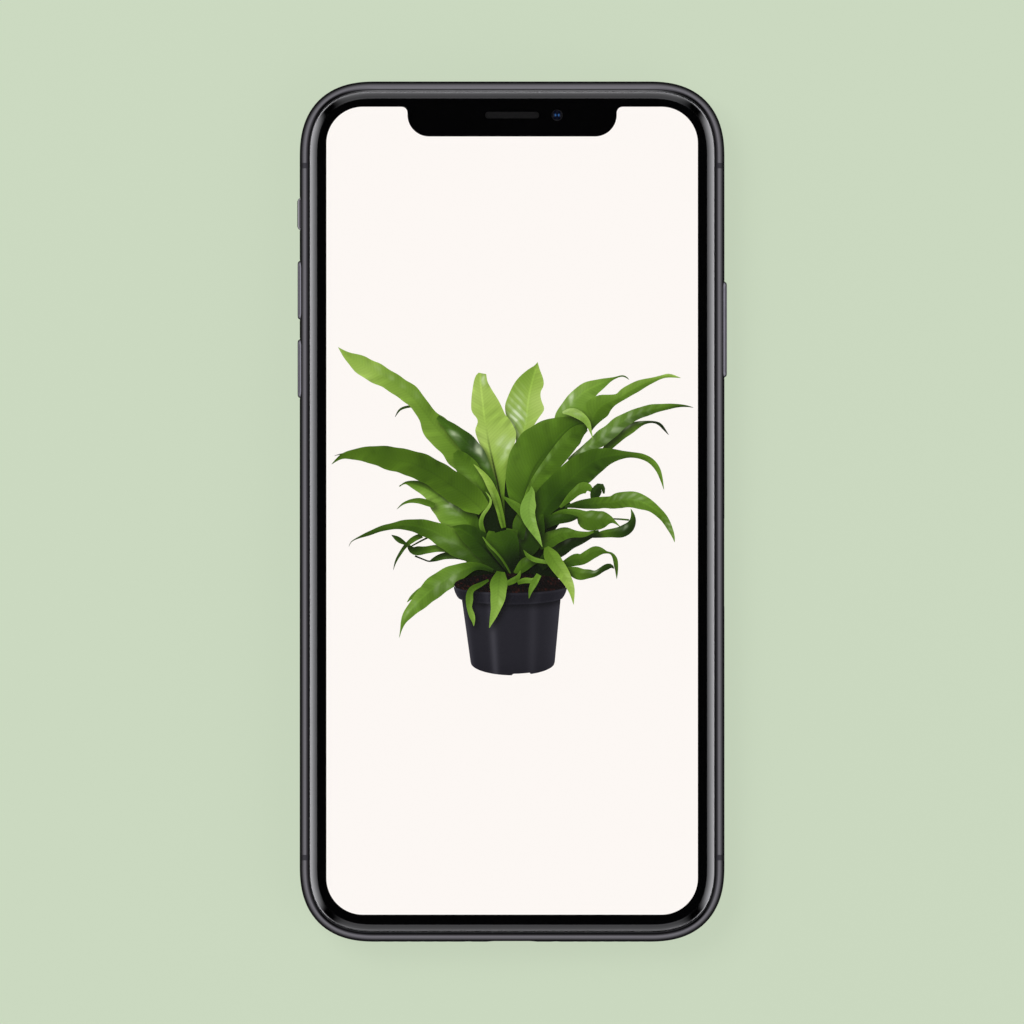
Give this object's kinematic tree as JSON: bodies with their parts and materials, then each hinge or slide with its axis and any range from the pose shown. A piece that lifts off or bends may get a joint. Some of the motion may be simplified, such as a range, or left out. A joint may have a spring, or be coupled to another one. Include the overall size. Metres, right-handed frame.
{
  "type": "smartphone",
  "caption": "Flat touch-screen phone with a notched display, rounded metal frame, glass front and back, side buttons, a card tray and a rear camera.",
  "frame": {"origin": "centre of the bounding box's underside: under the middle of the phone, at the level of the rear camera's raised face", "axes": "+X to the screen's right, +Y along the phone to its top end, where the notch is, +Z out of the screen"},
  "size_m": [0.0716, 0.1436, 0.0087],
  "materials": {
    "frame_metal": "polished dark grey stainless steel",
    "inner_steel": "plain stamped steel",
    "cover_glass": "clear polished glass with a black printed border under it",
    "back_glass": "satin dark grey glass",
    "lens_glass": "polished black glass",
    "display": "lit display, warm white",
    "black_plastic": "matt black",
    "split_plastic": "satin dark grey",
    "speaker_mesh": "fine black mesh",
    "diffuser": "pale ribbed diffuser",
    "battery_cell": "black foil pouch",
    "circuit_board": "green solder mask",
    "copper": "enamelled copper wire",
    "card_plastic": "plain pale plastic"
  },
  "bodies": {
    "handset": {"frame_left": "frame_metal", "frame_right": "frame_metal", "frame_top": "frame_metal", "frame_bottom": "frame_metal", "antenna_insert_upper_left": "split_plastic", "antenna_insert_upper_right": "split_plastic", "antenna_insert_lower_left": "split_plastic", "antenna_insert_lower_right": "split_plastic", "cover_glass": "cover_glass", "front_gasket": "black_plastic", "display_panel": "display", "display_shield": "inner_steel", "earpiece_mesh": "speaker_mesh", "earpiece_speaker": "black_plastic", "front_camera": "black_plastic", "proximity_sensor": "black_plastic", "depth_sensor": "black_plastic", "back_glass": "back_glass", "back_gasket": "black_plastic", "back_plate": "inner_steel", "charging_coil": "copper", "camera_bump": "frame_metal", "camera_window": "lens_glass", "rear_camera_upper": "black_plastic", "rear_camera_lower": "black_plastic", "flash_window": "diffuser", "flash_led": "diffuser", "side_button_bracket": "inner_steel", "volume_bracket": "inner_steel", "mute_switch_bracket": "inner_steel", "sim_reader": "inner_steel", "logic_board": "circuit_board", "board_shield": "inner_steel", "battery_cell_upper": "battery_cell", "battery_cell_lower": "battery_cell", "charging_socket": "inner_steel", "socket_board": "circuit_board", "bottom_screw_left": "inner_steel", "bottom_screw_right": "inner_steel", "grille_mesh_left": "speaker_mesh", "grille_mesh_right": "speaker_mesh", "vibration_motor": "inner_steel", "loudspeaker": "black_plastic"},
    "side_button": {"side_button": "frame_metal"},
    "volume_up_button": {"volume_up_button": "frame_metal"},
    "volume_down_button": {"volume_down_button": "frame_metal"},
    "mute_switch": {"mute_switch": "frame_metal"},
    "sim_tray": {"sim_tray": "frame_metal", "sim_card": "card_plastic"}
  },
  "joints": [
    {"name": "side_button_press", "type": "slide", "parent": "handset", "child": "side_button", "axis": [-1, 0, 0], "range_m": [0, 0.0003], "stiffness_N_per_m": 1500, "springref_m": -0.0006},
    {"name": "volume_up_press", "type": "slide", "parent": "handset", "child": "volume_up_button", "axis": [1, 0, 0], "range_m": [0, 0.0003], "stiffness_N_per_m": 1500, "springref_m": -0.0006},
    {"name": "volume_down_press", "type": "slide", "parent": "handset", "child": "volume_down_button", "axis": [1, 0, 0], "range_m": [0, 0.0003], "stiffness_N_per_m": 1500, "springref_m": -0.0006},
    {"name": "mute_slide", "type": "slide", "parent": "handset", "child": "mute_switch", "axis": [0, 0, -1], "range_m": [0, 0.0011]},
    {"name": "tray_slide", "type": "slide", "parent": "handset", "child": "sim_tray", "axis": [1, 0, 0], "range_m": [0, 0.016]}
  ]
}
